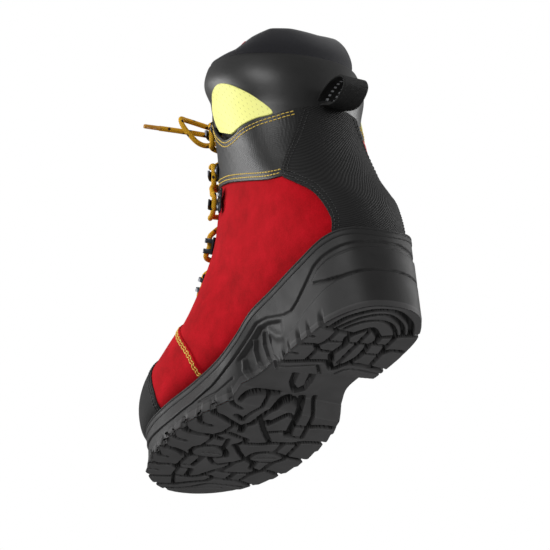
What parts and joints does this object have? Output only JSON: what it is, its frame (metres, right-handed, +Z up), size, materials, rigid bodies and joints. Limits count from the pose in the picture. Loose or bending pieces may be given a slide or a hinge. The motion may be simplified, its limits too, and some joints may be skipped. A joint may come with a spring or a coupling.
{
  "type": "high lace-up safety boot",
  "caption": "High padded lace-up boot, left foot: lugged rubber sole with heel cup, suede upper, leather collar, hooks, laces and rear pull loop.",
  "frame": {"origin": "on the floor under the middle of the boot's box (without the free lace ends and bow)", "axes": "+Z up, toe towards -Y, outer (lateral) side of the left boot towards +X"},
  "size_m": [0.1276, 0.3094, 0.3011],
  "materials": {
    "sole_rubber": "moulded matte rubber",
    "cup_rubber": "moulded rubber with flow lines",
    "rand_rubber": "smooth satin rubber strip",
    "red_suede": "waxed suede",
    "twill_guard": "rubberised twill weave",
    "carbon_leather": "fine pebbled print",
    "collar_leather": "smooth semi-gloss padded leather",
    "hivis_mesh": "pale yellow perforated fabric",
    "black_textile": "soft brushed knit",
    "lining_textile": "soft lining felt",
    "lace_cord": "yellow-orange braid with black flecks",
    "black_nickel": "dark plated steel",
    "steel": "plain steel",
    "board": "pressed fibre board",
    "stiffener": "moulded thermoplastic",
    "foam_bed": "felt over foam",
    "clear_tip": "clear lace tip",
    "webbing": "herringbone webbing with reflective dashes",
    "red_label": "plain moulded tab"
  },
  "bodies": {
    "boot": {"outsole": "sole_rubber", "midsole": "cup_rubber", "rand": "rand_rubber", "vamp": "red_suede", "quarter_left": "red_suede", "quarter_right": "red_suede", "ankle_band_left": "carbon_leather", "ankle_band_right": "carbon_leather", "hivis_panel_left": "hivis_mesh", "hivis_panel_right": "hivis_mesh", "heel_counter": "twill_guard", "collar": "collar_leather", "toe_guard": "twill_guard", "insole_board": "board", "steel_shank": "steel", "lining": "lining_textile", "footbed": "foam_bed", "safety_toe_cap": "steel", "heel_stiffener": "stiffener", "collar_padding": "black_textile", "tongue": "black_textile", "lace_loop_left_1": "black_nickel", "lace_loop_left_2": "black_nickel", "lace_loop_left_3": "black_nickel", "lace_loop_right_1": "black_nickel", "lace_loop_right_2": "black_nickel", "lace_loop_right_3": "black_nickel", "lace_lock_hook_left_4": "black_nickel", "lace_lock_hook_right_4": "black_nickel", "lace_hook_left_5": "black_nickel", "lace_hook_left_6": "black_nickel", "lace_hook_right_5": "black_nickel", "lace_hook_right_6": "black_nickel", "lace": "lace_cord", "bow_loop_left": "lace_cord", "bow_loop_right": "lace_cord", "lace_end_left": "lace_cord", "lace_end_right": "lace_cord", "aglet_left": "clear_tip", "aglet_right": "clear_tip", "side_label": "red_label"},
    "tongue_top": {"tongue_flap": "red_suede"},
    "heel_loop": {"pull_loop": "webbing"}
  },
  "joints": [
    {"name": "tongue_fold", "type": "hinge", "parent": "boot", "child": "tongue_top", "pos_m": [0, 0.00145, 0.2349], "axis": [1, 0, 0], "range_deg": [-10, 45], "stiffness_Nm_per_rad": 0.06},
    {"name": "pull_loop_swing", "type": "hinge", "parent": "boot", "child": "heel_loop", "pos_m": [0.0031, 0.11065, 0.195], "axis": [1, 0, 0], "range_deg": [-35, 35], "stiffness_Nm_per_rad": 0.02}
  ]
}
